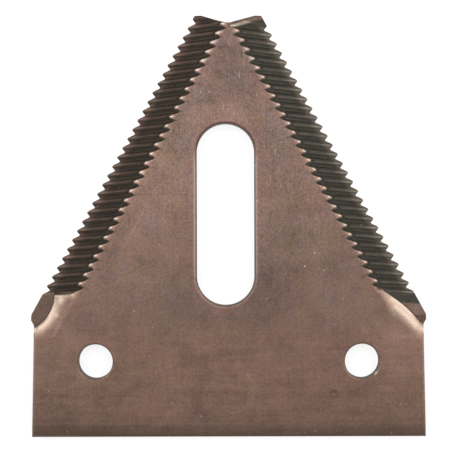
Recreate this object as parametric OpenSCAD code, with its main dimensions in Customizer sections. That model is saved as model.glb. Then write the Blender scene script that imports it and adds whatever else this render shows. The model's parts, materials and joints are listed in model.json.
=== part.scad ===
// Serrated sickle section for a mower knife: one piece of pressed and hardened steel plate.
// It lies on its flat underside with the serrated face up and the tip towards +Y.
// The origin is midway between the two bolt holes, on the underside. Sizes are in millimetres.

/* [Plate] */
// Thickness of the steel
plate_t = 3; // [2:0.1:5]
// Width across the back edge of the heel
back_w = 75.3; // [66:0.1:90]
// Width across the front of the heel, where the ears begin
front_w = 74.5; // [66:0.1:90]
// Distance from the bolt line to the back edge
heel_back = 14.4; // [10:0.1:25]
// Distance from the bolt line to the ears
heel_front = 6.5; // [5:0.05:8]
// Width of the strip along the back edge that the shear rolled down
roll_w = 2.2; // [0.5:0.1:4]
// Drop of that strip at the back edge
roll_drop = 0.25; // [0.05:0.05:0.6]

/* [Cutting edges] */
// Distance from the bolt line to the two horns of the tip
tip_reach = 66.4; // [55:0.05:80]
// Width across the horns
tip_w = 12.9; // [10:0.05:20]
// Straight length at the end of each horn
horn_w = 1.2; // [0.2:0.1:3]
// Depth of the hollow between the horns
tip_dip = 1.6; // [0.3:0.1:3]
// Width across the ears
ear_w = 76.2; // [66:0.1:92]
// Distance from the bolt line to the widest point of the ears
ear_reach = 8.8; // [8.2:0.1:11]
// Straight length at the end of each ear
ear_land = 1; // [0.2:0.1:1.5]
// Width of the bevel, square to the cutting edge
bevel_w = 5.4; // [4:0.1:7]
// Thickness left at the cutting edge
edge_land = 0.1; // [0.05:0.05:0.4]

/* [Serrations] */
// Spacing of the grooves along the blade
groove_pitch = 1.773; // [1.2:0.001:4]
// Angle between the grooves and the back edge
groove_rake = 4.5; // [0:0.1:15]
// Depth of a groove at the cutting edge
groove_depth_edge = 0.48; // [0.15:0.01:0.8]
// Depth of a groove where the bevel meets the face
groove_depth_face = 0.62; // [0.2:0.01:1]
// Angle between the two flanks of a groove
groove_angle = 120; // [70:1:130]
// Distance from the horns to the first groove of the left edge
left_first_groove = 1.56; // [0.8:0.01:5]
// Distance from the horns to the first groove of the right edge
right_first_groove = 2.86; // [0.8:0.01:5]
// Distance from the bolt line below which there is no groove
groove_limit = 13.2; // [12:0.1:30]

/* [Shoulders] */
// Angle between the left shoulder's wall and the length of the blade
left_shoulder_turn = 33; // [20:1:60]
// Angle between the right shoulder's wall and the length of the blade
right_shoulder_turn = 44; // [20:1:60]
// Radius of the left shoulder's hollow wall, seen from above
left_shoulder_hollow = 9; // [9:1:80]
// Radius of the right shoulder's hollow wall, seen from above
right_shoulder_hollow = 80; // [9:1:80]
// Distance of the left shoulder's wall from the side of the heel
left_shoulder_inset = 0.1; // [0:0.1:3]
// Distance of the right shoulder's wall from the side of the heel
right_shoulder_inset = 0.1; // [0:0.1:3]
// Distance from the bolt line at which the left shoulder starts, at the cutting edge
left_shoulder_front = 12.5; // [11:0.1:14]
// Distance from the bolt line at which the right shoulder starts, at the cutting edge
right_shoulder_front = 13; // [11:0.1:14]
// Radius of the round along a shoulder's wall
wall_round = 1.8; // [0.5:0.1:2.5]
// Radius of the round along the front of a shoulder and of the heel
front_round = 0.9; // [0.3:0.1:2]

/* [Slot and holes] */
// Width of the slot
slot_w = 11.05; // [4:0.05:16]
// Length of the slot, end to end
slot_l = 34.8; // [16:0.1:40]
// Distance from the bolt line to the middle of the slot
slot_reach = 28.1; // [22:0.1:34]
// Sideways distance of the slot from the middle of the plate
slot_shift = -0.55; // [-2:0.05:2]
// Diameter of the bolt holes
hole_d = 6.6; // [4:0.1:9]
// Distance between the bolt holes
hole_spacing = 51; // [36:0.1:60]
// Width of the broken edge round the slot and the holes
edge_break = 0.3; // [0.05:0.05:0.5]
// Diameter of the hardness test mark
mark_d = 1.5; // [0.5:0.1:3]
// Depth of the hardness test mark
mark_depth = 0.2; // [0.05:0.05:0.4]
// Place of the hardness test mark, to the right of the middle
mark_x = 20.1; // [-30:0.1:30]
// Place of the hardness test mark, from the bolt line
mark_y = -6.2; // [-9:0.05:-6]

/* [Hidden] */
$fn = 96;
steel = "#7d6a61";

// Room that a cutter has beyond the steel
spare = 2;
// Heights by which the rounds of a shoulder stand over the face, so that they meet it at a clean edge.
// They differ, because two rounds that end level would touch each other flat where they cross.
wall_proud = 0.03;
front_proud = 0.08;

// Lean of a cutting edge from the length of the blade
edge_lean = atan((ear_w - tip_w) / 2 / (tip_reach - ear_reach));
bevel_angle = atan((plate_t - edge_land) / bevel_w);
// Angle seen from above between a groove and the line square to its cutting edge
groove_skew = edge_lean + groove_rake;
// Length of a ridge seen from above, from the cutting edge to the face
ridge_run = bevel_w / cos(groove_skew);
// Height of a groove's bottom where it starts at the cutting edge, and its climb towards the face
groove_start = edge_land - groove_depth_edge;
groove_climb = atan((plate_t - groove_depth_face - groove_start) / ridge_run);
// Roll of a groove about its own length that stands it square on the bevel
groove_roll = atan(
    tan(bevel_angle) * sin(groove_skew)
    / (cos(groove_climb) + tan(bevel_angle) * cos(groove_skew) * sin(groove_climb))
);
blade_size = 2 * (tip_reach + ear_w);
// Reach of the slabs that bound a shoulder, more than the whole heel
kept_size = heel_back + tip_reach + ear_w;

// Half width of the blade at a distance y from the bolt line
function edge_x(y) = tip_w / 2 + (tip_reach - y) * tan(edge_lean);

module outline() {
    right = [
        [back_w / 2, -heel_back],
        [front_w / 2, heel_front],
        [ear_w / 2, ear_reach - ear_land],
        [ear_w / 2, ear_reach],
        [tip_w / 2, tip_reach],
        [tip_w / 2 - horn_w, tip_reach],
    ];
    middle = [[0, tip_reach - tip_dip]];
    left = [for (i = [len(right) - 1 : -1 : 0]) [-right[i][0], right[i][1]]];
    polygon(concat(right, middle, left));
}

// Everything above the bevel of the right cutting edge
module bevel_cut() {
    translate([ear_w / 2, ear_reach, edge_land])
        rotate([0, 0, edge_lean])
            rotate([0, bevel_angle, 0])
                translate([-2 * bevel_w, -blade_size / 2, 0])
                    cube([4 * bevel_w, blade_size, 2 * plate_t + 2 * bevel_w]);
}

// One groove, from outside the cutting edge at y up and out through the face
module groove(y) {
    climb_l = (plate_t + groove_depth_face + spare) / sin(groove_climb);
    v_h = groove_depth_edge + groove_depth_face + edge_land;
    v_w = v_h * tan(groove_angle / 2);
    translate([edge_x(y), y, groove_start])
        rotate([0, 0, 180 - groove_rake])
            rotate([0, -groove_climb, 0])
                rotate([groove_roll, 0, 0])
                    translate([-spare, 0, 0])
                        rotate([90, 0, 90])
                            linear_extrude(spare + climb_l)
                                polygon([[0, 0], [v_w, v_h], [-v_w, v_h]]);
}

module grooves(first) {
    for (y = [tip_reach - first : -groove_pitch : groove_limit])
        groove(y);
}

// Section through standing steel: a wall at x = 0, higher than the plate, with a round along its upper edge
module wall_profile(round_r, proud) {
    round_z = plate_t + proud - round_r;
    translate([0, -spare])
        square([kept_size, spare + round_z]);
    translate([round_r, -spare])
        square([kept_size - round_r, plate_t + 2 * spare]);
    intersection() {
        translate([round_r, round_z])
            circle(round_r);
        square([round_r, plate_t + spare]);
    }
}

// Everything behind the X axis
module rounded_slab() {
    rotate([90, 0, 90])
        linear_extrude(2 * kept_size, center = true)
            mirror([1, 0])
                wall_profile(front_round, front_proud);
}

// Everything round an upright hollow about the Z axis
module rounded_hollow(hollow_r) {
    rotate_extrude()
        translate([hollow_r, 0])
            wall_profile(wall_round, wall_proud);
}

// The steel that the press leaves standing at the heel end of the right bevel
module shoulder(turn, hollow_r, inset, front) {
    wall_l = (front - heel_front) / cos(turn);
    hollow_x = sqrt(hollow_r * hollow_r - wall_l * wall_l / 4);
    translate([0, heel_front, 0])
        rounded_slab();
    intersection() {
        translate([edge_x(front), front, 0])
            rotate([0, 0, -groove_rake])
                rounded_slab();
        translate([front_w / 2 - inset, heel_front, 0])
            rotate([0, 0, turn])
                translate([hollow_x, wall_l / 2, 0])
                    rounded_hollow(hollow_r);
    }
}

// What the press takes from the right side of the blade
module serrated_bevel(first, turn, hollow_r, inset, front) {
    difference() {
        union() {
            bevel_cut();
            grooves(first);
        }
        shoulder(turn, hollow_r, inset, front);
    }
}

// A round hole through the plate, with its upper edge broken
module bolt_hole() {
    translate([0, 0, -spare])
        cylinder(d = hole_d, h = plate_t + 2 * spare);
    translate([0, 0, plate_t - edge_break])
        cylinder(d1 = hole_d, d2 = hole_d + 2 * (edge_break + spare), h = edge_break + spare);
}

// The long slot through the plate, with its upper edge broken
module slot() {
    straight = slot_l - slot_w;
    flare = edge_break + spare;
    translate([0, 0, -spare])
        linear_extrude(plate_t + 2 * spare) {
            square([slot_w, straight], center = true);
            for (end = [-1, 1])
                translate([0, end * straight / 2])
                    circle(d = slot_w);
        }
    translate([0, 0, plate_t - edge_break]) {
        for (end = [-1, 1])
            translate([0, end * straight / 2, 0])
                cylinder(d1 = slot_w, d2 = slot_w + 2 * flare, h = flare);
        translate([0, straight / 2, 0])
            rotate([90, 0, 0])
                linear_extrude(straight)
                    polygon([
                        [-slot_w / 2, 0],
                        [slot_w / 2, 0],
                        [slot_w / 2 + flare, flare],
                        [-slot_w / 2 - flare, flare],
                    ]);
    }
}

// The strip along the back edge that slopes down
module back_roll() {
    slope = roll_drop / roll_w;
    translate([-back_w, 0, 0])
        rotate([90, 0, 90])
            linear_extrude(2 * back_w)
                polygon([
                    [-heel_back + roll_w, plate_t],
                    [-heel_back - spare, plate_t - (roll_w + spare) * slope],
                    [-heel_back - spare, plate_t + spare],
                    [-heel_back + roll_w, plate_t + spare],
                ]);
}

// The round dent that a hardness test leaves in the face
module test_mark() {
    ball_r = (mark_d * mark_d / 4 + mark_depth * mark_depth) / (2 * mark_depth);
    translate([mark_x, mark_y, plate_t - mark_depth + ball_r])
        sphere(ball_r);
}

module sickle_section() {
    color(steel)
        difference() {
            linear_extrude(plate_t)
                outline();
            serrated_bevel(
                right_first_groove, right_shoulder_turn, right_shoulder_hollow, right_shoulder_inset,
                right_shoulder_front
            );
            mirror([1, 0, 0])
                serrated_bevel(
                    left_first_groove, left_shoulder_turn, left_shoulder_hollow, left_shoulder_inset,
                    left_shoulder_front
                );
            translate([slot_shift, slot_reach, 0])
                slot();
            for (side = [-1, 1])
                translate([side * hole_spacing / 2, 0, 0])
                    bolt_hole();
            back_roll();
            test_mark();
        }
}

sickle_section();
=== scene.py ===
import json
import math

import bmesh
import bpy
import numpy as np
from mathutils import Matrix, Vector, geometry


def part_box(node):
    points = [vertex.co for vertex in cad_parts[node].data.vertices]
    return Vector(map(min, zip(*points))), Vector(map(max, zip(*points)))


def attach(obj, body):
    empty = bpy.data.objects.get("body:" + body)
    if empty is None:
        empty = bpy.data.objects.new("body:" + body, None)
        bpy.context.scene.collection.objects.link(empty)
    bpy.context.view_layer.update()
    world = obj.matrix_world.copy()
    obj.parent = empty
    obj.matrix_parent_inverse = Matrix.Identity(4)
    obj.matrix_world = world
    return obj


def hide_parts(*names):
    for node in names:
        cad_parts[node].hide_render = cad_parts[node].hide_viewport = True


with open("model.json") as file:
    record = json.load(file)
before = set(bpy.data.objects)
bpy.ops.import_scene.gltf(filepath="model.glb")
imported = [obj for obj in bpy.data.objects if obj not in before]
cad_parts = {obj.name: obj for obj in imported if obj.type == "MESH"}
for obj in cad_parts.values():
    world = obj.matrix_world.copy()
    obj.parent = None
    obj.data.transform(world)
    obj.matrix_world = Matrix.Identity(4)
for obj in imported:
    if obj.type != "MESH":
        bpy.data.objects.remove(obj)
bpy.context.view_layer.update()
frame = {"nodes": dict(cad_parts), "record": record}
print("frame loaded:", sorted(frame["nodes"]))

mm = 0.001  # the blade is worked out in millimetres
lowCorner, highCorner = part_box("sickle_section")
boltMount = next(m for m in frame["record"]["mounts"] if m["name"] == "bolt_holes")

plate = {
    "thickness": highCorner.z / mm,
    "earWidth": (highCorner.x - lowCorner.x) / mm,
    "earReach": 8.8,
    "earLand": 1.0,
    "tipReach": highCorner.y / mm,
    "tipWidth": 12.9,
    "hornLand": 1.2,
    "tipHollow": 1.6,
    "hollowRound": 0.7,     # softens the bottom of the hollow between the horns
    "heelBack": -lowCorner.y / mm,
    "heelFront": 6.5,
    "backWidth": 75.3,
    "frontWidth": 74.5,
    "edgeRound": 0.3,       # upper edges of the heel, the slot and the holes
    "sideRoundPast": 0.5,   # the heel's rounded sides run on this far past its front
    "rollWidth": 2.2,
    "rollDrop": 0.25,
}

bevel = {
    "width": 5.4,
    "land": 0.1,            # thickness left at the cutting edge
    "ridgeRound": 0.6,      # how softly a ridge runs into the face
}

groove = {
    "pitch": 1.773,
    "rake": 4.5,
    "depthEdge": 0.48,
    "depthFace": 0.62,
    "angle": 120,
    "rootRound": 0.05,
    "crestRound": 0.05,
    "limit": 13.2,
    "edgeHeight": 0.05,     # the outline runs where the steel is this thin
}

shoulder = {
    "crownWide": 3.0,       # width over which the face rolls down to a wall
    "crownSlope": 0.36,     # its slope where the wall begins
    "frontWide": 1.4,
    "frontSlope": 0.4,
    "blend": 0.2,
    "wallSlope": 4.0,       # fall of a wall below its crown
    "creaseSlope": 0.4,     # an ear bends down by this below its crease
}

# the wall of a shoulder runs from the heel to its front, hollow or bulging by its radius
# the left ear has no crease, so its place is set off the blade
sides = [
    {
        "sign": 1, "first": 2.86, "turn": 48.6, "wallRadius": 23.0, "bulges": True, "inset": 0.0,
        "wallFront": 13.4, "front": 14.2, "hornBare": 0.75,
        "earFrom": 2.75, "earDark": 0.12, "earCrease": 8.5,
        "crestPlace": 0.54, "crestWide": 0.115, "crestMid": 0.32, "crestOuter": 0.95, "crestTip": 0.3,
        "crownSheen": 0.42, "lipSheen": 0.14, "glintPlace": 0.485, "glint": 0.68, "glintTip": 0.44,
    },
    {
        "sign": -1, "first": 1.56, "turn": 32.0, "wallRadius": 7.5, "bulges": False, "inset": 0.2,
        "wallFront": 12.5, "front": 12.5, "hornBare": 0.2,
        "earFrom": 0.5, "earDark": 0.4, "earCrease": -20.0,
        "crestPlace": 0.37, "crestWide": 0.15, "crestMid": 0.3, "crestOuter": 0.8, "crestTip": 0.42,
        "crownSheen": 0.55, "lipSheen": 0.36, "glintPlace": 0.385, "glint": 0.82, "glintTip": 0.74,
    },
]

slot = {
    "width": 11.05, "length": 34.8, "reach": 28.1, "shift": -0.55,
    "leftHighlight": 0.8, "rightHighlight": 0.55,     # how bright the painted highlights along its edges are
}

bolt = {
    "spacing": boltMount["dims"]["spacing_x_mm"],
    "radius": boltMount["dims"]["hole_r_mm"],
}

# round test mark, with a dark ring and a cool cup as shares of its diameter
dent = {
    "x": 20.1, "y": -6.2, "diameter": 1.5, "depth": 0.06,
    "ring": -0.3, "ringPlace": 0.42, "ringWide": 0.34, "cup": (0.45, 0.2),
}

thick = plate["thickness"]
edgeRun = (plate["earWidth"] - plate["tipWidth"]) / 2
edgeLean = math.atan(edgeRun / (plate["tipReach"] - plate["earReach"]))
heelSlant = (plate["backWidth"] - plate["frontWidth"]) / 2 / (plate["heelBack"] + plate["heelFront"])
bevelSlope = (thick - bevel["land"]) / bevel["width"]
rake = math.radians(groove["rake"])
skew = edgeLean + rake
grooveIn = np.array((-math.cos(rake), math.sin(rake)))      # along a groove, in from the right edge
grooveSide = np.array((-math.sin(rake), -math.cos(rake)))   # across it, towards the heel
edgeStep = groove["pitch"] * np.array((math.tan(edgeLean), -1.0))
stepAcross = float(edgeStep @ grooveSide)
stepAlong = float(edgeStep @ grooveIn)
ridgeRun = bevel["width"] / math.cos(skew)
grooveStart = bevel["land"] - groove["depthEdge"]
grooveClimb = math.atan((thick - groove["depthFace"] - grooveStart) / ridgeRun)
leanBack = math.cos(grooveClimb) + bevelSlope * math.cos(skew) * math.sin(grooveClimb)
grooveRoll = math.atan(bevelSlope * math.sin(skew) / leanBack)
halfAngle = math.radians(groove["angle"] / 2)
heelFlank = 1 / math.tan(halfAngle - grooveRoll) / math.cos(grooveClimb)
tipFlank = 1 / math.tan(halfAngle + grooveRoll) / math.cos(grooveClimb)


def softMin(a, b, k):
    h = np.clip(0.5 + 0.5 * (b - a) / k, 0, 1)
    return b * (1 - h) + a * h - k * h * (1 - h)


def softMax(a, b, k):
    return -softMin(-a, -b, k)


def ramp(x, low, high):
    # smooth step from low, which may be the larger, to high
    t = np.clip((x - low) / (high - low), 0, 1)
    return t * t * (3 - 2 * t)


def bell(distance, wide):
    return np.exp(-(distance / wide) ** 2)


def edgeX(y):
    return plate["tipWidth"] / 2 + (plate["tipReach"] - y) * math.tan(edgeLean)


def tipEdge(x):
    run = plate["tipWidth"] / 2 - plate["hornLand"]
    soft = plate["hollowRound"]
    away = (np.sqrt(x * x + soft * soft) - soft) / (math.sqrt(run * run + soft * soft) - soft)
    return plate["tipReach"] - plate["tipHollow"] * np.clip(1 - away, 0, 1)


def grooveCount(side):
    return int((plate["tipReach"] - side["first"] - groove["limit"]) / groove["pitch"]) + 1


def grooveOrigin(side):
    y = plate["tipReach"] - side["first"]
    return np.array((edgeX(y), y))


def grooveCoords(x, y, side):
    # along and across the first groove, for the blade seen with this side on the right
    origin = grooveOrigin(side)
    dx = x * side["sign"] - origin[0]
    dy = y - origin[1]
    along = dx * grooveIn[0] + dy * grooveIn[1]
    across = dx * grooveSide[0] + dy * grooveSide[1]
    return along, across


def grooveHeight(x, y, side):
    along, across = grooveCoords(x, y, side)
    nearest = np.rint(across / stepAcross)
    root = groove["rootRound"]
    lowest = np.full_like(along, 1e3)
    for shift in (-1, 0, 1):
        k = np.clip(nearest + shift, 0, grooveCount(side) - 1)
        u = along - k * stepAlong
        v = across - k * stepAcross
        rounded = np.sqrt(v * v + root * root) - root
        flank = (heelFlank - tipFlank) / 2 * v + (heelFlank + tipFlank) / 2 * rounded
        z = grooveStart + u * math.tan(grooveClimb) + flank
        lowest = softMin(lowest, z, groove["crestRound"])
    return lowest


def bevelHeight(x, y, side):
    return bevel["land"] + (edgeX(y) - x * side["sign"]) * math.cos(edgeLean) * bevelSlope


def wallTop(q, wide, slope):
    # height of standing steel at a distance q in front of its wall
    crown = np.clip(q + wide, 0, wide)
    drop = slope / (2 * wide) * crown * crown
    return thick - drop - np.maximum(q, 0) * shoulder["wallSlope"]


def wallCircle(side):
    # centre of the circle that a shoulder's wall follows, with the blade's side on the right
    turn = math.radians(side["turn"])
    half = (side["wallFront"] - plate["heelFront"]) / math.cos(turn) / 2
    reach = math.sqrt(side["wallRadius"] ** 2 - half ** 2)
    if side["bulges"]:
        reach = -reach
    x = plate["frontWidth"] / 2 - side["inset"] + reach * math.cos(turn) - half * math.sin(turn)
    y = plate["heelFront"] + reach * math.sin(turn) + half * math.cos(turn)
    return x, y


def wallDistance(x, y, side):
    # distance in front of a shoulder's wall, less than 0 in the standing steel
    centreX, centreY = wallCircle(side)
    inside = side["wallRadius"] - np.hypot(x * side["sign"] - centreX, y - centreY)
    return -inside if side["bulges"] else inside


def frontDistance(x, y, side):
    px = x * side["sign"]
    return (px - edgeX(side["front"])) * math.sin(rake) + (y - side["front"]) * math.cos(rake)


def standingDistance(x, y, side):
    # less than 0 where the press leaves the steel standing
    block = np.maximum(wallDistance(x, y, side), frontDistance(x, y, side))
    return np.minimum(block, y - plate["heelFront"])


def shoulderHeight(x, y, side):
    heel = wallTop(y - plate["heelFront"], shoulder["crownWide"], shoulder["crownSlope"])
    frontTop = wallTop(frontDistance(x, y, side), shoulder["frontWide"], shoulder["frontSlope"])
    sideTop = wallTop(wallDistance(x, y, side), shoulder["crownWide"], shoulder["crownSlope"])
    return softMax(heel, softMin(frontTop, sideTop, shoulder["blend"]), shoulder["blend"])


def slotDistance(x, y):
    straight = (slot["length"] - slot["width"]) / 2
    dy = y - slot["reach"]
    return np.hypot(x - slot["shift"], dy - np.clip(dy, -straight, straight)) - slot["width"] / 2


def holeDistance(x, y):
    return np.hypot(np.abs(x) - bolt["spacing"] / 2, y) - bolt["radius"]


def openingDistance(x, y):
    return np.minimum(slotDistance(x, y), holeDistance(x, y))


def heelSideX(y):
    return plate["frontWidth"] / 2 + (plate["heelFront"] - y) * heelSlant


def heelSideDistance(x, y):
    return (heelSideX(y) - np.abs(x)) / math.hypot(1, heelSlant)


def roundDrop(distance):
    r = plate["edgeRound"]
    d = np.clip(distance, 0, r)
    return r - np.sqrt(np.maximum(r * r - (r - d) ** 2, 0))


def faceHeight(x, y):
    back = y + plate["heelBack"]
    rolled = np.clip(1 - back / plate["rollWidth"], 0, 1)
    z = thick - plate["rollDrop"] * rolled ** 2
    byHeel = y < plate["heelFront"] + plate["sideRoundPast"]
    sideEdge = np.where(byHeel, heelSideDistance(x, y), np.inf)
    z = z - roundDrop(np.minimum.reduce([openingDistance(x, y), sideEdge, back, tipEdge(x) - y]))
    ball = (dent["diameter"] ** 2 / 4 + dent["depth"] ** 2) / (2 * dent["depth"])
    r2 = (x - dent["x"]) ** 2 + (y - dent["y"]) ** 2
    cup = thick - dent["depth"] + ball - np.sqrt(np.maximum(ball * ball - r2, 0))
    return np.where(r2 < dent["diameter"] ** 2 / 4, np.minimum(z, cup), z)


# where the finish of an edge changes: "Along" is in from the cutting edge and "Depth" below the face,
# both in millimetres, "First" and "Last" are pitches past the first and the last groove, and "Wide" is
# in shares of a pitch
wearAndSheen = {
    "cutLine": (-0.08, 0.08),
    "earFade": 0.4,
    "ridgeLast": (0.5, 0.62),
    "hornFirst": (-0.42, -0.3),
    "hornLine": (-0.15, 0.15),
    "spearTip": 7.95,               # the scale of a groove ends here, in a point
    "spearOpen": 0.28,
    "spearLean": 1.2,               # the point is narrower towards the heel
    "spearFoot": 0.4,
    "spearFootAlong": (6.55, 6.15),
    "spearEdge": (-0.05, 0.05),
    "bareLast": 0.4,
    "bareDepth": (0.1, 0.3),
    "creaseRun": 0.2,
    "creaseDark": 0.8,
    "tipFrom": (52, 60),            # up the blade, where the values of the tip take over
    "crestAlong": (1.0, 3.0),
    "crestDepth": (0.35, 0.6),
    "crestFirst": (-0.45, -0.3),
    "rootLine": 0.12,
    "rootWide": 0.09,
    "innerEnd": 0.12,
    "innerAlong": (5.8, 6.8),
    "outerRoot": 0.4,
    "outerAlong": (2.5, 0.9),
    "outerWide": (0.2, 0.4),
    # the glint, crown and lip values place painted highlights
    "glintWide": 0.2,
    "glintAlong": (5.9, 6.4),
    "glintEnd": (7.15, 6.55),
    "glintTipLonger": 1.15,
    "glintFirst": (0.05, 0.2),
    "glintLast": (0.1, 0.2),
    "wallFoot": (-0.3, 0.1),        # from the front of the heel
    "wallHead": (9.5, 8.0),
    "wallEdge": (-0.45, -0.1),
    "wallDark": 0.75,
    "wallDull": 0.8,
    "crownDepth": (0.02, 0.5),
    "crownEndDepth": (0.72, 0.9),
    "lipFront": (-0.9, -0.2),
    "lipAlong": (7.4, 5.4),
    "brownBeside": 0.28,
    "brownWide": 0.16,
    "brownAlong": (1.6, 4.2),
}

# painted highlights: a speck on the right hole's rim, and the brightest parts of the left crown
highlightSpots = (
    {"x": 28.0, "y": -2.2, "radius": 0.3, "amount": 1.0},
    {"x": -32.2, "y": 11.75, "radius": 0.85, "amount": 0.62},
    {"x": -33.0, "y": 9.0, "radius": 0.6, "amount": 0.4},
)

# painted highlight lines: the edge above the first groove of the right horn, and the right crown
hornHighlight = {
    "from": (0.7, 64.15), "to": (4.6, 65.2), "core": 0.05, "wide": 0.42, "amount": 1.35, "fade": 1.0,
}
crownHighlight = {
    "from": (32.0, 10.1), "to": (35.6, 6.8), "core": 0.05, "wide": 1.6, "amount": 0.42, "fade": 0.0,
}


def finishMasks(x, y, side, steel, pressed):
    # where one edge has scale, lighter crests, and places that wear and painted highlights have brightened
    along, across = grooveCoords(x, y, side)
    k = across / stepAcross
    along = along - k * stepAlong
    past = k - grooveCount(side) + 1
    phase = np.where(k < 0, 1 + np.maximum(k, -0.5), k - np.floor(k))
    depth = np.clip(thick - pressed, 0, None)
    cut = ramp(standingDistance(x, y, side), *wearAndSheen["cutLine"])
    ear = ramp(past * stepAcross, side["earFrom"], side["earFrom"] + wearAndSheen["earFade"])
    grooved = 1 - ramp(past, *wearAndSheen["ridgeLast"])
    (ax, ay), (bx, by) = hornHighlight["from"], hornHighlight["to"]
    above = y - ay - (x * side["sign"] - ax) * (by - ay) / (bx - ax)
    horn = (1 - ramp(k, *wearAndSheen["hornFirst"])) * ramp(above, *wearAndSheen["hornLine"])
    # the scale ends in a spear round the axis of each groove
    fromAxis = phase - np.rint(phase)
    fromAxis = np.where(fromAxis > 0, fromAxis * wearAndSheen["spearLean"], -fromAxis)
    spear = wearAndSheen["spearOpen"] * np.sqrt(np.clip(wearAndSheen["spearTip"] - along, 0, None))
    spear = spear + wearAndSheen["spearFoot"] * ramp(along, *wearAndSheen["spearFootAlong"])
    scale = 1 - ramp(fromAxis - spear, *wearAndSheen["spearEdge"])
    scale = np.where(past > wearAndSheen["bareLast"], ramp(thick - steel, *wearAndSheen["bareDepth"]), scale) * cut
    scale = scale * (1 - ear * (1 - side["earDark"])) * (1 - side["hornBare"] * horn)
    # a painted shade line along the crease of the ear, carried in the scale mask
    crease = bell(y - side["earCrease"], wearAndSheen["creaseRun"]) * ear * cut
    scale = np.maximum(scale, wearAndSheen["creaseDark"] * crease)
    # lighter crests, partly bare steel and partly a painted highlight, with fainter lines in the roots and at
    # both ends
    nearTip = ramp(y, *wearAndSheen["tipFrom"])
    middle = side["crestMid"] * (1 - nearTip) + side["crestTip"] * nearTip
    outer = middle + (side["crestOuter"] - middle) * (1 - ramp(along, *wearAndSheen["crestAlong"]))
    crest = np.maximum.reduce([
        bell(phase - side["crestPlace"], side["crestWide"]) * outer,
        wearAndSheen["rootLine"] * bell(fromAxis, wearAndSheen["rootWide"]),
        wearAndSheen["innerEnd"] * ramp(along, *wearAndSheen["innerAlong"]),
        wearAndSheen["outerRoot"] * ramp(along, *wearAndSheen["outerAlong"]) * (1 - ramp(fromAxis, *wearAndSheen["outerWide"])),
    ])
    crest = crest * cut * ramp(depth, *wearAndSheen["crestDepth"]) * grooved * ramp(k, *wearAndSheen["crestFirst"])
    # painted highlights on the ends of the ridges
    glintFar, glintNear = wearAndSheen["glintEnd"]
    glint = bell(phase - side["glintPlace"], wearAndSheen["glintWide"]) * ramp(along, *wearAndSheen["glintAlong"])
    glint = glint * ramp(along, glintFar + wearAndSheen["glintTipLonger"] * nearTip, glintNear)
    glint = glint * cut * (1 - scale) * ramp(k, *wearAndSheen["glintFirst"]) * (1 - ramp(past, *wearAndSheen["glintLast"]))
    glint = glint * (side["glint"] * (1 - nearTip) + side["glintTip"] * nearTip)
    # the lower part of a wall has a dark edge; a painted highlight lies on its crown beside it and on the lip
    # along its front
    lowWall = ramp(y - plate["heelFront"], *wearAndSheen["wallFoot"]) * ramp(y, *wearAndSheen["wallHead"])
    wallEdge = ramp(wallDistance(x, y, side), *wearAndSheen["wallEdge"]) * (1 - cut) * lowWall
    crown = ramp(depth, *wearAndSheen["crownDepth"]) * (1 - cut) * (1 - ramp(depth, *wearAndSheen["crownEndDepth"]))
    crown = crown * (1 - wearAndSheen["wallDull"] * wallEdge)
    lip = ramp(frontDistance(x, y, side), *wearAndSheen["lipFront"]) * (1 - cut) * ramp(along, *wearAndSheen["lipAlong"])
    wearAndHighlight = np.maximum.reduce([crown * side["crownSheen"], lip * side["lipSheen"], glint])
    # brown oxide on the flanks near the edge
    brown = bell(phase - side["crestPlace"] + wearAndSheen["brownBeside"], wearAndSheen["brownWide"])
    brown = brown * (1 - ramp(along, *wearAndSheen["brownAlong"])) * grooved
    return {
        "scale": scale, "crest": crest, "wearAndHighlight": wearAndHighlight, "brown": brown, "rim": wearAndSheen["wallDark"] * wallEdge,
        "grooveAlong": along, "grooveAcross": across,
    }


# a painted highlight along a line, fading towards its end
def highlightLine(x, y, line):
    (ax, ay), (bx, by) = line["from"], line["to"]
    dx = bx - ax
    dy = by - ay
    share = np.clip(((x - ax) * dx + (y - ay) * dy) / (dx * dx + dy * dy), 0, 1)
    away = np.hypot(x - ax - share * dx, y - ay - share * dy)
    return (1 - ramp(away, line["core"], line["wide"])) * (1 - line["fade"] * share ** 2) * line["amount"]


# dark rims, and the painted highlight lines beside them, in millimetres from the edges
rims = {
    "fade": (0.08, 0.4),
    "slotEnd": (9, 14),             # from the middle of the slot to its round ends
    "slotEndWider": 0.16,
    "holeNarrower": 0.14,
    "tipDark": 0.8,
    "tipFade": (0.1, 0.35),
    "slotHighlight": 0.42,
    "slotHighlightWide": 0.13,
    "lowerFade": 0.6,
    "heelHighlight": 0.1,
    "heelFade": (0.1, 0.7),
    "slotGlow": (2.4, 0.2),
}


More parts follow.
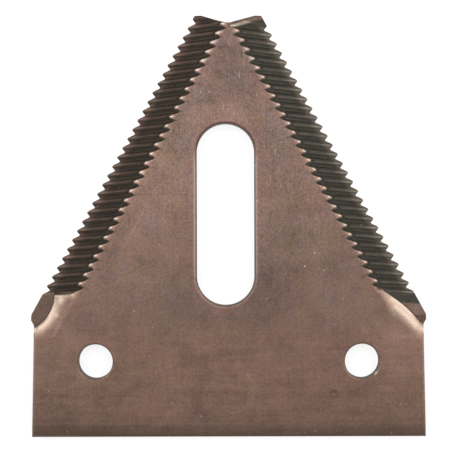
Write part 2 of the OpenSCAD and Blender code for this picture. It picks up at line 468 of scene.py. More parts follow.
def bladeSurface(x, y):
    # height of the face, and the masks that the finish follows
    z = faceHeight(x, y)
    masks = {}
    for side in sides:
        bent = np.maximum(side["earCrease"] - y, 0) * shoulder["creaseSlope"]
        ridge = softMin(np.full_like(x, thick), bevelHeight(x, y, side) - bent, bevel["ridgeRound"])
        steel = softMin(ridge, grooveHeight(x, y, side), groove["crestRound"])
        kept = shoulderHeight(x, y, side)
        pressed = softMax(steel, kept, shoulder["blend"] / 2)
        z = np.minimum(z, pressed)
        here = x * side["sign"] > 0
        for name, mask in finishMasks(x, y, side, steel, pressed).items():
            masks[name] = np.where(here, mask, masks.get(name, 0.0))
    besideSlot = slotDistance(x, y)
    upperEnd = ramp(y - slot["reach"], *rims["slotEnd"])
    lowerEnd = ramp(slot["reach"] - y, *rims["slotEnd"])
    slotRim = besideSlot - rims["slotEndWider"] * upperEnd
    holeRim = holeDistance(x, y) + rims["holeNarrower"]
    rim = 1 - ramp(np.minimum.reduce([slotRim, holeRim, y + plate["heelBack"]]), *rims["fade"])
    tipRim = rims["tipDark"] * (1 - ramp(tipEdge(x) - y, *rims["tipFade"]))
    # painted highlights in lines and spots along the edges
    slotHighlight = bell(besideSlot - rims["slotHighlight"], rims["slotHighlightWide"])
    slotHighlight = slotHighlight * (1 - upperEnd) * (1 - rims["lowerFade"] * lowerEnd)
    slotHighlight = slotHighlight * np.where(x < slot["shift"], slot["leftHighlight"], slot["rightHighlight"])
    heelHighlight = (1 - ramp(heelSideDistance(x, y), *rims["heelFade"])) * (y < plate["heelFront"])
    highlights = [masks["wearAndHighlight"], slotHighlight, rims["heelHighlight"] * heelHighlight]
    offWall = 1 - masks["rim"]
    highlights += [highlightLine(x, y, line) * offWall for line in (hornHighlight, crownHighlight)]
    for spot in highlightSpots:
        away = np.hypot(x - spot["x"], y - spot["y"])
        highlights.append(bell(away, spot["radius"]) * spot["amount"] * offWall)
    masks["wearAndHighlight"] = np.maximum.reduce(highlights)
    masks["rim"] = np.maximum.reduce([masks["rim"], rim, tipRim])
    masks["slotGlow"] = ramp(besideSlot, *rims["slotGlow"])
    return z, masks


meshing = {
    "acrossGroove": 14,             # steps from one groove to the next
    "alongGroove": 0.2,
    "bandWidth": 8.4,               # how far in from the cutting edge the fine points reach
    "bandBelow": 1.5,               # and how far below the front of the heel
    "spareRows": (2, 12),
    "coarse": 1.3,
    "outlineStep": 0.5,
    "edgeTries": 6,
    "ringOffsets": (0.05, 0.11, 0.19, 0.3, 0.42, 0.55, 0.75),
    "wallOffsets": (-0.5, -0.25, -0.08, 0.0, 0.06, 0.14, 0.24, 0.36),
    "wallSpan": 6.5,
    "wallStep": 0.2,
    "holeSteps": 72,
    "slotSteps": 40,
    "hornSteps": 24,
    "tipRow": (-4.0, 4.01, 0.25),
    "rollStep": 0.4,
    "dentRings": (0.12, 1.1, 9),
    "dentSteps": 28,
    "underX": (-32, 33),
    "underY": (-12, 62),
    "underStep": 4.0,
    "thinnest": 0.03,
    "sharpAngle": 38,
}

# how far the inner points keep from edges and from each other's rows
gaps = {
    "middle": 0.05,
    "tip": 0.08,
    "thin": 0.04,
    "ear": 0.9,
    "heelFront": 0.3,
    "heelSide": 0.6,
    "wallRow": (-0.1, 0.55),        # rows along a wall take the place of the others here
    "wallPast": 0.6,
    "wallFoot": 0.2,
    "wallThin": 0.15,
    "wallCorner": 3,
    "wallSide": 0.3,
    "opening": 0.9,
    "side": 0.8,
    "sideFoot": 0.2,
    "back": 0.6,
    "band": 0.5,
    "heel": 1.6,
    "underEdge": 3,
    "underOpening": 1,
    "slack": 0.005,
}


def alongLine(a, b, step):
    n = max(1, round(math.dist(a, b) / step))
    return [(a[0] + (b[0] - a[0]) * i / n, a[1] + (b[1] - a[1]) * i / n) for i in range(n)]


def serratedEdge(side):
    # from the ear up to the horn, recessed where a groove runs out through the edge
    points = []
    stepY = groove["pitch"] / meshing["acrossGroove"]
    firstY = plate["tipReach"] - side["first"]
    count = int((firstY - plate["earReach"]) / stepY)
    upper = int((plate["tipReach"] - firstY) / stepY)
    for j in range(-count, upper + 1):
        y = firstY + j * stepY
        depth = 0.0
        start = np.array((edgeX(y), y))
        for _ in range(meshing["edgeTries"]):
            p = start + depth * grooveIn
            z = float(grooveHeight(np.array([p[0] * side["sign"]]), np.array([p[1]]), side)[0])
            depth = max(0.0, depth + (groove["edgeHeight"] - z) / math.tan(grooveClimb))
        p = start + depth * grooveIn
        points.append((p[0] * side["sign"], p[1]))
    return points


def bladeOutline():
    step = meshing["outlineStep"]
    n = meshing["hornSteps"]
    hornXs = [plate["tipWidth"] / 2 * (1 - i / n) for i in range(n)]
    runs = []
    for side in sides:
        s = side["sign"]
        corners = [
            (s * plate["backWidth"] / 2, -plate["heelBack"]),
            (s * plate["frontWidth"] / 2, plate["heelFront"]),
            (s * plate["earWidth"] / 2, plate["earReach"] - plate["earLand"]),
            (s * plate["earWidth"] / 2, plate["earReach"]),
        ]
        run = []
        for a, b in zip(corners, corners[1:]):
            run += alongLine(a, b, step)
        run += serratedEdge(side)
        run += [(s * x, float(tipEdge(np.array(x)))) for x in hornXs]
        runs.append(run)
    right, left = runs
    middle = [(0.0, float(tipEdge(np.array(0.0))))]
    back = alongLine(left[0], right[0], step)
    return right + middle + left[::-1] + back[1:]


def slotRing(offset):
    r = slot["width"] / 2 + offset
    straight = (slot["length"] - slot["width"]) / 2
    n = meshing["slotSteps"]
    points = []
    for end in (1, -1):
        for i in range(n + 1):
            a = math.pi * i / n + (0 if end > 0 else math.pi)
            points.append((slot["shift"] + r * math.cos(a), slot["reach"] + end * straight + r * math.sin(a)))
        a = (slot["shift"] - end * r, slot["reach"] + end * straight)
        b = (slot["shift"] - end * r, slot["reach"] - end * straight)
        points += alongLine(a, b, meshing["outlineStep"])[1:]
    return points


def holeRing(sign, offset):
    r = bolt["radius"] + offset
    n = meshing["holeSteps"]
    return [
        (sign * bolt["spacing"] / 2 + r * math.cos(2 * math.pi * i / n), r * math.sin(2 * math.pi * i / n))
        for i in range(n)
    ]


def bandPoints(side):
    # rows of points that run with the grooves, so that roots and crests stay straight
    across = stepAcross / meshing["acrossGroove"]
    along = meshing["alongGroove"]
    origin = grooveOrigin(side)
    spareAbove, spareBelow = meshing["spareRows"]
    lowestY = plate["heelFront"] - meshing["bandBelow"]
    lowest = int((lowestY - origin[1]) / grooveSide[1] / across) + spareBelow
    highest = int(side["first"] / across) + spareAbove
    rows = []
    for j in range(-highest, lowest):
        t = j * across
        edge = t * stepAlong / stepAcross
        first = math.ceil(edge / along)
        last = math.floor((edge + meshing["bandWidth"]) / along)
        s = np.arange(first, last + 1) * along
        rows.append(origin + s[:, None] * grooveIn + t * grooveSide)
    points = np.concatenate(rows)
    inBlade = (points[:, 0] > gaps["middle"]) & (points[:, 1] < tipEdge(points[:, 0]) - gaps["tip"])
    points = points[inBlade]
    x = points[:, 0] * side["sign"]
    y = points[:, 1]
    onBevel = bevelHeight(x, y, side) - bevel["land"] > gaps["thin"]
    offEdge = grooveHeight(x, y, side) - groove["edgeHeight"] > gaps["thin"]
    offHeel = (y > plate["heelFront"] + gaps["heelFront"]) | (heelSideDistance(x, y) > gaps["heelSide"])
    offEar = (y > plate["earReach"]) | (plate["earWidth"] / 2 - points[:, 0] > gaps["ear"])
    rowMiddle, rowHalf = gaps["wallRow"]
    onWall = np.abs(wallDistance(x, y, side) - rowMiddle) < rowHalf
    onWall &= y < side["wallFront"] + gaps["wallPast"]
    keep = onBevel & offEdge & offHeel & offEar & ~onWall
    return np.stack([x[keep], y[keep]], 1)


def wallPoints(side):
    # rows of points along the wall of a shoulder, so that it stays clean
    centreX, centreY = wallCircle(side)
    cornerX = plate["frontWidth"] / 2 - gaps["wallCorner"]
    cornerY = plate["heelFront"] + gaps["wallCorner"]
    middle = math.atan2(cornerY - centreY, cornerX - centreX)
    span = np.arange(-meshing["wallSpan"], meshing["wallSpan"], meshing["wallStep"])
    points = []
    for offset in meshing["wallOffsets"]:
        r = side["wallRadius"] + (offset if side["bulges"] else -offset)
        for a in span / side["wallRadius"] + middle:
            points.append((centreX + r * math.cos(a), centreY + r * math.sin(a)))
    points = np.array(points)
    x = points[:, 0] * side["sign"]
    y = points[:, 1]
    onWall = (y > plate["heelFront"] - gaps["wallFoot"]) & (y < side["wallFront"] + gaps["wallPast"])
    steel = np.minimum(bevelHeight(x, y, side), grooveHeight(x, y, side))
    offSide = points[:, 0] < plate["frontWidth"] / 2 - gaps["wallSide"]
    keep = onWall & (steel > bevel["land"] + gaps["wallThin"]) & offSide
    return np.stack([x[keep], y[keep]], 1)


def facePoints():
    # the plain part of the face, with rings round every rim
    step = meshing["outlineStep"]
    xs = np.arange(-plate["earWidth"] / 2, plate["earWidth"] / 2, meshing["coarse"])
    ys = np.arange(-plate["heelBack"] + gaps["back"], plate["tipReach"], meshing["coarse"])
    x, y = [a.ravel() for a in np.meshgrid(xs, ys)]
    inFromEdge = (edgeX(y) - np.abs(x)) / np.hypot(1, math.tan(edgeLean))
    offBand = inFromEdge > meshing["bandWidth"] * math.cos(skew) + gaps["band"]
    keep = offBand | (y < plate["heelFront"] - gaps["heel"])
    keep &= (openingDistance(x, y) > gaps["opening"]) & (heelSideDistance(x, y) > gaps["side"])
    points = [np.stack([x[keep], y[keep]], 1)]
    sideY = np.arange(-plate["heelBack"] + gaps["side"], plate["heelFront"] - gaps["sideFoot"], step)
    backFrom = -plate["backWidth"] / 2 + gaps["side"]
    backTo = plate["backWidth"] / 2 - gaps["back"]
    backX = np.arange(backFrom, backTo, step)
    rollX = np.arange(backFrom, backTo, 2 * step)
    topX = np.arange(*meshing["tipRow"])
    for offset in meshing["ringOffsets"]:
        points.append(np.array(slotRing(offset)))
        for sign in (1, -1):
            points.append(np.array(holeRing(sign, offset)))
            points.append(np.stack([sign * (heelSideX(sideY) - offset), sideY], 1))
        points.append(np.stack([backX, np.full_like(backX, offset - plate["heelBack"])], 1))
        points.append(np.stack([topX, tipEdge(topX) - offset], 1))
    for along in np.arange(gaps["opening"], plate["rollWidth"] + gaps["side"], meshing["rollStep"]):
        points.append(np.stack([rollX, np.full_like(rollX, along - plate["heelBack"])], 1))
    a = np.linspace(0, 2 * math.pi, meshing["dentSteps"], endpoint=False)
    for r in np.linspace(*meshing["dentRings"]):
        points.append(np.stack([dent["x"] + r * np.cos(a), dent["y"] + r * np.sin(a)], 1))
    return np.concatenate(points)


def undersidePoints():
    # a wide grid, clear of every edge
    xs = np.arange(*meshing["underX"], meshing["underStep"])
    ys = np.arange(*meshing["underY"], meshing["underStep"])
    x, y = [a.ravel() for a in np.meshgrid(xs, ys)]
    keep = (edgeX(y) - np.abs(x) > gaps["underEdge"]) & (openingDistance(x, y) > gaps["underOpening"])
    return np.stack([x[keep], y[keep]], 1)


def insideLoop(points, loop):
    loop = np.array(loop)
    nextPoint = np.roll(loop, -1, 0)
    inside = np.zeros(len(points), bool)
    for (ax, ay), (bx, by) in zip(loop, nextPoint):
        if ay == by:
            continue
        crosses = (ay > points[:, 1]) != (by > points[:, 1])
        at = ax + (points[:, 1] - ay) * (bx - ax) / (by - ay)
        inside ^= crosses & (points[:, 0] < at)
    return inside


def fillPlan(points, edges, near, outline):
    # triangles of the plan that lie in steel, with the given points that each point stands for
    points = [Vector(p) for p in points]
    verts, _, faces, sources, _, _ = geometry.delaunay_2d_cdt(points, edges, [], 1, near)
    plan = np.array([v[:] for v in verts])
    tris = np.array(faces)
    centre = plan[tris].mean(1)
    solid = openingDistance(centre[:, 0], centre[:, 1]) > -gaps["slack"]
    return plan, tris[solid & insideLoop(centre, outline)], sources


def rimEdges(tris):
    # directed edges that only one triangle has
    edges = np.concatenate([tris[:, [0, 1]], tris[:, [1, 2]], tris[:, [2, 0]]])
    have = {(int(a), int(b)) for a, b in edges}
    return sorted((a, b) for a, b in have if (b, a) not in have)


def smoothBlade(mesh):
    # drops loose points, and keeps the sharp edges sharp
    bm = bmesh.new()
    bm.from_mesh(mesh)
    loose = [v for v in bm.verts if not v.link_faces]
    bmesh.ops.delete(bm, geom=loose, context="VERTS")
    limit = math.radians(meshing["sharpAngle"])
    for edge in bm.edges:
        edge.smooth = edge.calc_face_angle(math.pi) < limit
    for face in bm.faces:
        face.smooth = True
    openEdges = [e for e in bm.edges if not e.is_manifold]
    print("blade mesh:", len(bm.verts), "points", len(bm.faces), "faces", len(openEdges), "open edges")
    bm.to_mesh(mesh)
    bm.free()


def makeBlade():
    loops = [bladeOutline(), slotRing(0), holeRing(1, 0), holeRing(-1, 0)]
    outline = loops[0]
    inner = [points(side) for side in sides for points in (bandPoints, wallPoints)]
    inner = np.concatenate(inner + [facePoints()])
    inner = inner[insideLoop(inner, outline)]
    points = []
    edges = []
    for loop in loops:
        start = len(points)
        points += loop
        edges += [(start + i, start + (i + 1) % len(loop)) for i in range(len(loop))]
    plan, tris, _ = fillPlan(points + inner.tolist(), edges, 1e-4, outline)
    used = np.unique(tris)
    back = np.full(len(plan), -1)
    back[used] = np.arange(len(used))
    plan = plan[used]
    tris = back[tris]
    height, masks = bladeSurface(plan[:, 0], plan[:, 1])
    height = np.maximum(height, meshing["thinnest"])

    # the underside repeats the rim, so that the walls close the mesh
    rim = rimEdges(tris)
    rimVerts = sorted({v for e in rim for v in e})
    lowId = {v: i for i, v in enumerate(rimVerts)}
    lowPoints = plan[rimVerts].tolist() + undersidePoints().tolist()
    lowEdges = [(lowId[a], lowId[b]) for a, b in rim]
    lowPlan, lowTris, sources = fillPlan(lowPoints, lowEdges, 1e-6, outline)
    place = {source: i for i, ids in enumerate(sources) for source in ids}

    mesh = bpy.data.meshes.new("sickleBlade")
    top = np.column_stack([plan, height])
    bottom = np.column_stack([lowPlan, np.zeros(len(lowPlan))])
    base = len(top)
    faces = [tuple(t) for t in tris.tolist()]
    walls = [(b, a, base + place[lowId[a]], base + place[lowId[b]]) for a, b in rim]
    lows = [(base + c, base + b, base + a) for a, b, c in lowTris.tolist()]
    mesh.from_pydata((np.concatenate([top, bottom]) * mm).tolist(), [], faces + walls + lows)
    kinds = [0] * len(faces) + [1] * len(walls) + [2] * len(lows)
    mesh.polygons.foreach_set("material_index", kinds)
    for name, values in masks.items():
        layer = mesh.attributes.new(name, "FLOAT", "POINT")
        layer.data.foreach_set("value", np.concatenate([values, np.zeros(len(bottom))]).astype(np.float32))
    mesh.validate()
    smoothBlade(mesh)
    blade = bpy.data.objects.new("sickleBlade", mesh)
    bpy.context.scene.collection.objects.link(blade)
    return blade


blade = makeBlade()


def addNode(tree, kind, **settings):
    node = tree.nodes.new(kind)
    for key, value in settings.items():
        setattr(node, key, value)
    return node


def feed(tree, socket, value):
    if isinstance(value, bpy.types.NodeSocket):
        tree.links.new(value, socket)
    else:
        socket.default_value = value


def reckon(tree, operation, a, b=0.0, clamp=False):
    node = addNode(tree, "ShaderNodeMath", operation=operation, use_clamp=clamp)
    feed(tree, node.inputs[0], a)
    feed(tree, node.inputs[1], b)
    return node.outputs[0]


def times(tree, a, b):
    return reckon(tree, "MULTIPLY", a, b)


def plus(tree, a, b):
    return reckon(tree, "ADD", a, b)


def swing(tree, value, amount, middle=1.0):
    # a value about 0, made to swing by an amount about another middle
    return plus(tree, times(tree, value, amount), middle)


def spread(tree, value, low, high, toLow=0.0, toHigh=1.0, smooth=True):
    # carries a value from one range into another, held at both ends
    node = addNode(tree, "ShaderNodeMapRange", interpolation_type="SMOOTHSTEP" if smooth else "LINEAR")
    feed(tree, node.inputs["Value"], value)
    for name, number in (("From Min", low), ("From Max", high), ("To Min", toLow), ("To Max", toHigh)):
        feed(tree, node.inputs[name], number)
    return node.outputs["Result"]


def blend(tree, factor, a, b):
    node = addNode(tree, "ShaderNodeMix", data_type="RGBA")
    feed(tree, node.inputs[0], factor)
    feed(tree, node.inputs[6], a)
    feed(tree, node.inputs[7], b)
    return node.outputs[2]


def brighten(tree, colour, amount):
    node = addNode(tree, "ShaderNodeVectorMath", operation="SCALE")
    feed(tree, node.inputs[0], colour[:3] if isinstance(colour, tuple) else colour)
    feed(tree, node.inputs["Scale"], amount)
    return node.outputs[0]


def vectorMath(tree, operation, a, b=(0.0, 0.0, 0.0), output="Vector"):
    node = addNode(tree, "ShaderNodeVectorMath", operation=operation)
    feed(tree, node.inputs[0], a)
    feed(tree, node.inputs[1], b)
    return node.outputs[output]


def stretch(tree, place, x, y, z):
    return vectorMath(tree, "MULTIPLY", place, (x, y, z))


def separate(tree, place):
    node = addNode(tree, "ShaderNodeSeparateXYZ")
    feed(tree, node.inputs[0], place)
    return node.outputs


def noise(tree, place, scale=1.0, detail=3.0, rough=0.6, seed=0.0, distort=0.0):
    # about 0 on average
    node = addNode(tree, "ShaderNodeTexNoise", noise_dimensions="4D")
    feed(tree, node.inputs["Vector"], place)
    node.inputs["W"].default_value = seed
    node.inputs["Scale"].default_value = scale
    node.inputs["Detail"].default_value = detail
    node.inputs["Roughness"].default_value = rough
    node.inputs["Distortion"].default_value = distort
    return reckon(tree, "SUBTRACT", node.outputs[0], 0.5)


def addRelief(tree, shader, height, strength, depth):
    relief = addNode(tree, "ShaderNodeBump")
    relief.inputs["Strength"].default_value = strength
    relief.inputs["Distance"].default_value = depth * mm
    feed(tree, relief.inputs["Height"], height)
    feed(tree, shader.inputs["Normal"], relief.outputs[0])


def meshMask(tree, name):
    return addNode(tree, "ShaderNodeAttribute", attribute_name=name).outputs["Fac"]


def placeInMillimetres(tree):
    node = addNode(tree, "ShaderNodeTexCoord")
    return stretch(tree, node.outputs["Object"], 1 / mm, 1 / mm, 1 / mm)


def colour(red, green, blue):
    # from the 0 to 255 of a colour picker
    shares = [c / 255 for c in (red, green, blue)]
    linear = [c / 12.92 if c < 0.04045 else ((c + 0.055) / 1.055) ** 2.4 for c in shares]
    return (*linear, 1.0)


def newMaterial(name):
    material = bpy.data.materials.new(name)
    material.use_nodes = True
    tree = material.node_tree
    return material, tree, tree.nodes["Principled BSDF"]


def newGroup(name, outputs):
    # a node group that takes a place and puts out values
    tree = bpy.data.node_groups.new(name, "ShaderNodeTree")
    tree.interface.new_socket(name="Place", in_out="INPUT", socket_type="NodeSocketVector")
    for socket in outputs:
        tree.interface.new_socket(name=socket, in_out="OUTPUT", socket_type="NodeSocketFloat")
    place = addNode(tree, "NodeGroupInput").outputs["Place"]
    return tree, place, addNode(tree, "NodeGroupOutput").inputs


def useGroup(tree, group, place):
    node = addNode(tree, "ShaderNodeGroup", node_tree=group)
    feed(tree, node.inputs["Place"], place)
    return node.outputs


# clouds of oxide, their warmth, the fine grain and a drift of hue
mottle = {
    "Patches": {"scale": 0.17, "detail": 4.0, "rough": 0.68, "seed": 3.1, "distort": 0.6},
    "Warmth": {"scale": 0.3, "detail": 5.0, "rough": 0.66, "seed": 8.7, "distort": 0.4},
    "Grain": {"scale": 2.4, "detail": 3.0, "rough": 0.6, "seed": 1.3},
    "Hue": {"scale": 0.5, "detail": 5.0, "rough": 0.7, "seed": 4.9},
}


def makeSteelMottle():
    tree, place, results = newGroup("steelMottle", mottle)
    for name, values in mottle.items():
        feed(tree, results[name], noise(tree, place, **values))
    return tree


# fine lines that the grinding left along the blade
lines = {"fineness": 5.0, "length": 0.16, "seed": 5.9}


def makeDrawnLines():
    tree, place, results = newGroup("drawnLines", ["Lines"])
    fine = stretch(tree, place, lines["fineness"], lines["length"], lines["length"])
    feed(tree, results["Lines"], noise(tree, fine, seed=lines["seed"]))
    return tree


steelMottle = makeSteelMottle()
drawnLines = makeDrawnLines()

# a pair of values holds from the first to the second place of its "From", in millimetres up the blade
oxide = {
    "warm": colour(146, 111, 101),
    "cool": colour(131, 112, 108),
    "olive": colour(140, 114, 96),
    "rim": colour(88, 70, 61),
    "rimDark": 0.7,
    "back": colour(112, 98, 84),
    "backFrom": (-10.0, -13.6),
    "backShare": (0.0, 0.35),
    "patches": 0.85,
    "grain": (0.85, 1.35),          # the steel is coarser towards the tip
    "grainFrom": (2.0, 46.0),
    "lines": (0.25, 0.45),
    "linesFrom": (10.0, 44.0),
    "rolled": (0.5, 0.0),           # streaks across the heel
    "rolledFrom": (2.0, 9.0),
    "rolledGrain": (0.1, 1.1, 1.0),
    "warmth": (1.9, 3.0),           # the clouds show more colour towards the tip
    "warmthFrom": (18.0, 40.0),
    "coolMiddle": 0.5,
    "coolShare": (0.35, 1.0),
    "coolFrom": (4.0, 8.0),
    "hueSwing": 0.16,
    "olives": (1.0, 0.5),
    "olivesFrom": (46.0, 55.0),
    "slotWarm": 0.4,                # the slot has a warmer and redder edge
    "slotRed": 0.6,
    "metallic": 0.92,
    "roughness": 0.4,
    "roughGrain": 0.12,
    "relief": 0.25,
    "reliefDepth": 0.02,
    # painted light and shade along the blade: millimetres up the blade, and a tone
    "paintedLightAlongBlade": (
        (-14.0, 0.72), (-11.4, 0.84), (-9.0, 0.92), (-3.5, 0.96), (8.0, 0.95), (16.0, 1.02),
        (36.0, 1.19), (48.0, 1.17), (55.0, 1.05), (64.0, 1.02),
    ),
}

# soft stains of the hardening: x, y, half width and half length in millimetres, then a shade and a share
# of the cool tone
stains = (
    (-7.6, 11.4, 4.0, 4.0, -0.1, 0.7),
    (6.8, 14.6, 4.5, 7.0, -0.14, 0.8),
    (9.0, 23.0, 5.0, 6.0, -0.08, 0.6),
    (-9.5, 43.8, 3.0, 6.0, -0.12, 1.2),
    (8.4, 41.5, 4.0, 6.0, -0.05, 1.2),
    (-4.4, 50.9, 2.5, 3.0, -0.1, 0.8),
    (3.4, 52.8, 3.0, 3.0, -0.09, 0.8),
    (0.0, 47.6, 4.0, 3.0, 0.08, -0.3),
    (0.3, 56.2, 3.4, 3.0, -0.16, 0.9),
    (0.0, 60.6, 2.2, 1.8, 0.08, 0.0),
    (-14.0, 29.0, 6.0, 9.0, 0.06, 0.0),
    (-16.0, 13.6, 9.0, 6.0, 0.03, 0.5),
    (18.0, 19.0, 9.0, 8.0, -0.05, 0.3),
    (11.5, 27.0, 5.0, 10.0, -0.06, 0.3),
    (0.7, -2.9, 1.0, 0.9, -0.08, 3.0),
    (34.0, 2.2, 7.0, 7.0, 0.2, 0.0),
    (-34.0, -2.0, 7.0, 9.0, 0.02, 1.6),
    (27.0, 8.0, 7.0, 4.0, 0.08, 0.0),
    (-33.0, -9.5, 12.0, 6.0, -0.14, 0.6),
    # the next two rows paint light on the upper facet of the right ear, and shade with a redder tone on its
    # lower facet
    (36.2, 9.7, 1.5, 1.2, 0.2, 0.0),
    (37.2, 7.5, 0.9, 0.9, -0.15, -0.8),
    (-34.5, 3.0, 4.0, 6.0, 0.07, 0.0),
    (0.7, 0.1, 0.8, 0.8, -0.1, 0.8),
    (0.7, -2.9, 0.9, 0.7, -0.08, 0.8),
    (13.1, 1.2, 0.9, 0.9, -0.07, 0.8),
)

# hairlines and soft streaks on the face: both ends and the half width in millimetres, and a shade
scratches = (
    ((-17.6, 31.95), (-6.0, 31.95), 0.07, -0.3),
    ((-37.0, 6.05), (-20.8, 6.05), 0.12, -0.12),
    ((-22.0, 18.05), (-11.7, 18.05), 0.09, -0.08),
    ((15.3, 32.9), (17.0, 32.9), 0.08, -0.14),
    ((-36.4, -6.2), (36.2, -6.2), 0.9, -0.05),
    ((-36.2, 2.9), (-35.3, 2.9), 0.1, -0.3),
    ((-36.3, 1.5), (-35.5, 1.5), 0.1, -0.3),
    # a painted highlight along the crest where the back edge starts to roll
    ((-37.4, -11.85), (37.4, -11.85), 0.25, 0.1),
    ((-15.4, 30.6), (-21.4, 19.0), 0.32, 0.07),
    ((-17.4, 29.8), (-23.0, 19.0), 0.7, -0.05),
    ((12.4, 34.0), (17.6, 24.0), 0.6, -0.06),
    ((14.2, 33.0), (18.2, 25.4), 0.3, 0.06),
    ((3.0, -2.6), (5.4, -2.4), 0.22, 0.26),
    ((3.3, -2.3), (4.7, -3.9), 0.22, 0.2),
    ((0.3, -9.9), (2.6, -9.35), 0.22, 0.2),
    ((-7.8, -7.2), (-6.9, -9.1), 0.2, 0.18),
    ((-15.4, 30.2), (-18.6, 24.1), 0.16, 0.14),
)

marking = {
    "stainFade": (1.4, 0.1),        # in shares of a stain's half size
    "ragged": 1.8,
    "raggedNoise": {"scale": 0.4, "detail": 4.0, "seed": 6.6},
    "scratchCore": 0.3,
    "scratchEnd": 0.5,
}

scaleTone = {
    "left": colour(68, 61, 54),
    "right": colour(74, 71, 64),
    "brown": colour(96, 72, 60),
    "brownShare": 0.6,
    # crest colours: bare steel with a painted highlight, lighter on the right side
    "leftCrest": colour(150, 125, 110),
    "rightCrest": colour(172, 160, 146),
    "sideFade": (-0.5, 0.5),
    "striation": 1.5,
    "striationGrain": (0.3, 3.4, 40.0),     # along and across a groove, and from side to side
    "striationRough": 0.65,
    "striationRelief": 2.0,
    "grain": 0.9,
    "roughness": 0.5,
}

# bare worn steel, with its colour lightened as a painted highlight
polishAndHighlight = {"colour": colour(221, 206, 187), "amount": 0.85, "roughness": 0.28}

# small bright marks, fewer on the heel and on the scale
specks = {
    "colour": colour(232, 214, 198), "scale": 0.55, "share": 0.09, "radius": 0.14, "tall": 0.7, "amount": 0.6,
    "edge": 0.02, "onScale": 0.25, "from": (2.0, 14.0), "shares": (0.45, 1.0),
}
strokes = {
    "colour": colour(206, 184, 168), "scale": 1.0, "share": 0.17, "radius": 0.14, "tall": 0.2, "amount": 0.4,
    "edge": 0.02, "onScale": 0.25, "from": (18.0, 46.0), "shares": (0.15, 1.0),
}


def paintedLightAlongBlade(tree, up):
    # painted light and shade along the blade, lightest in the middle and darkest at the heel, halved in the
    # curve because it holds 0 to 1
    places = oxide["paintedLightAlongBlade"]
    low = places[0][0]
    high = places[-1][0]
    curve = addNode(tree, "ShaderNodeFloatCurve")
    points = curve.mapping.curves[0].points
    while len(points) < len(places):
        points.new(0.5, 0.5)
    for point, (y, tone) in zip(points, places):
        point.location = ((y - low) / (high - low), tone / 2)
    curve.mapping.update()
    feed(tree, curve.inputs["Value"], spread(tree, up, low, high, smooth=False))
    return times(tree, curve.outputs[0], 2.0)


def scratchMask(tree, place, start, end, wide):
    run = Vector(end) - Vector(start)
    course = run.normalized()
    offset = vectorMath(tree, "SUBTRACT", place, (*start, 0.0))
    along = vectorMath(tree, "DOT_PRODUCT", offset, (course.x, course.y, 0.0), "Value")
    across = vectorMath(tree, "DOT_PRODUCT", offset, (-course.y, course.x, 0.0), "Value")
    mask = spread(tree, reckon(tree, "ABSOLUTE", across), wide, wide * marking["scratchCore"])
    begins = spread(tree, along, 0.0, marking["scratchEnd"])
    ends = spread(tree, along, run.length, run.length - marking["scratchEnd"])
    return times(tree, mask, times(tree, begins, ends))


def faceMarks(tree, place):
    # shade and share of the cool tone, from the stains, the scratches and the test mark
    drift = times(tree, noise(tree, place, **marking["raggedNoise"]), marking["ragged"])
    shade = 0.0
    cool = oxide["coolMiddle"]
    for x, y, halfWidth, halfLength, darker, cooler in stains:
        offset = vectorMath(tree, "SUBTRACT", place, (x, y, 0.0))
        flat = stretch(tree, offset, 1 / halfWidth, 1 / halfLength, 0.0)
        ragged = plus(tree, vectorMath(tree, "LENGTH", flat, output="Value"), drift)
        mask = spread(tree, ragged, *marking["stainFade"])
        shade = swing(tree, mask, darker, shade)
        cool = swing(tree, mask, cooler / 2, cool)
    for start, end, wide, lighter in scratches:
        shade = swing(tree, scratchMask(tree, place, start, end, wide), lighter, shade)
    away = vectorMath(tree, "DISTANCE", place, (dent["x"], dent["y"], thick), "Value")
    ring = reckon(tree, "SUBTRACT", away, dent["diameter"] * dent["ringPlace"])
    ring = spread(tree, reckon(tree, "ABSOLUTE", ring), dent["ringWide"], 0.0)
    shade = swing(tree, ring, dent["ring"], shade)
    cup = spread(tree, away, *[dent["diameter"] * share for share in dent["cup"]])
    return shade, cool, cup


def brightMarks(tree, place, up, scale, marks):
    # a few cells of a grid of points show a small mark, taller than wide
    cells = addNode(tree, "ShaderNodeTexVoronoi", feature="F1", voronoi_dimensions="2D")
    feed(tree, cells.inputs["Vector"], stretch(tree, place, 1.0, marks["tall"], 1.0))
    cells.inputs["Scale"].default_value = marks["scale"]
    chosen = addNode(tree, "ShaderNodeSeparateColor")
    feed(tree, chosen.inputs[0], cells.outputs["Color"])
    few = reckon(tree, "LESS_THAN", chosen.outputs[0], marks["share"])
    size = times(tree, chosen.outputs[1], marks["radius"] * marks["scale"])
    inside = reckon(tree, "SUBTRACT", cells.outputs["Distance"], size)
    dot = spread(tree, inside, marks["edge"], -marks["edge"])
    onFace = spread(tree, scale, 0.0, 1.0, 1.0, marks["onScale"], smooth=False)
    fewer = times(tree, onFace, spread(tree, up, *marks["from"], *marks["shares"]))
    return times(tree, times(tree, times(tree, few, dot), marks["amount"]), fewer)


